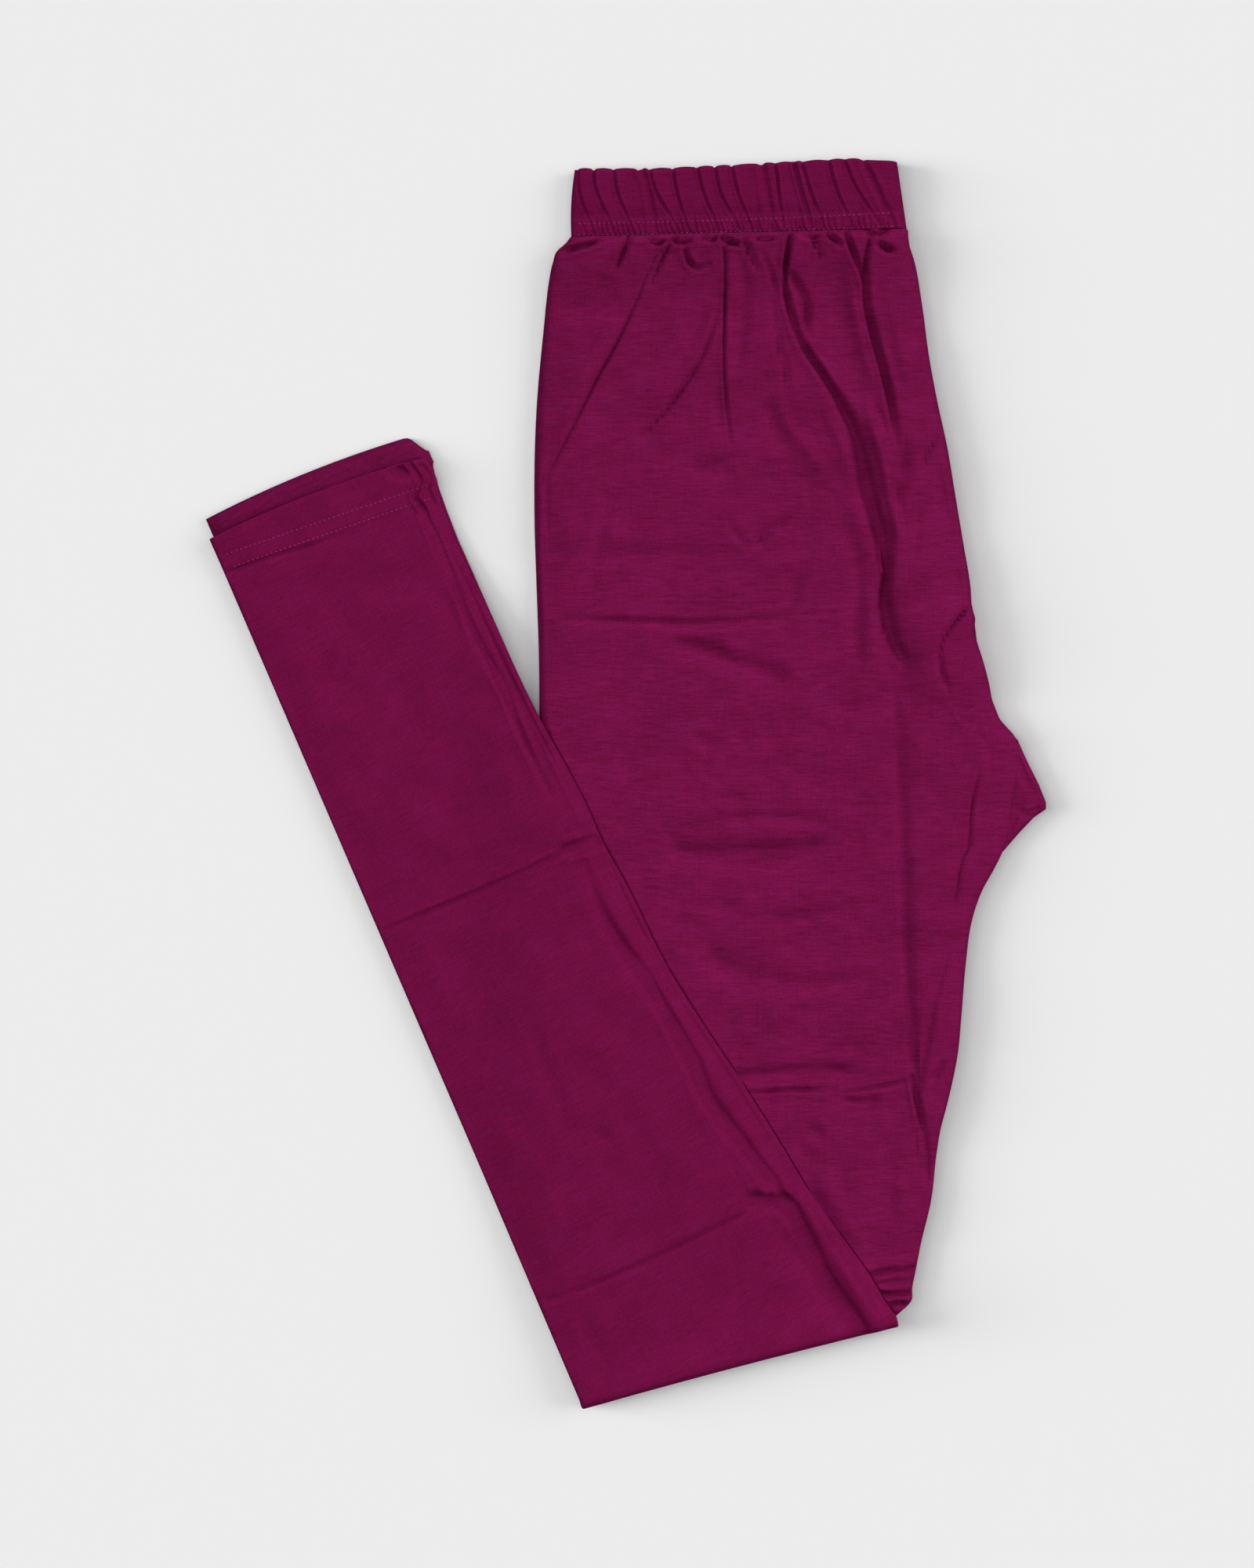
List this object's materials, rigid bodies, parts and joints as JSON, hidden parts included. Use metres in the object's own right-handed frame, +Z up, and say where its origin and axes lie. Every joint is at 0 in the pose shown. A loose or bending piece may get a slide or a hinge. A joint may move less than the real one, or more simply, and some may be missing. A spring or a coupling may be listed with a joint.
{
  "type": "folded churidar leggings",
  "caption": "Cotton jersey leggings laid flat, folded lengthwise with both shins turned up across the thighs.",
  "frame": {"origin": "bottom centre of the whole, on the surface that the leggings lie on", "axes": "+Y towards the waist, +X towards the centre seam and gusset, +Z up off the surface"},
  "size_m": [0.4296, 0.6364, 0.0118],
  "materials": {
    "jersey": "matt cotton and elastane single jersey, magenta purple",
    "casing": "the same jersey, gathered over elastic and twin-needle stitched"
  },
  "bodies": {
    "root": {"waistband": "casing", "leg_above": "jersey", "leg_below": "jersey", "gusset": "jersey"}
  },
  "joints": []
}
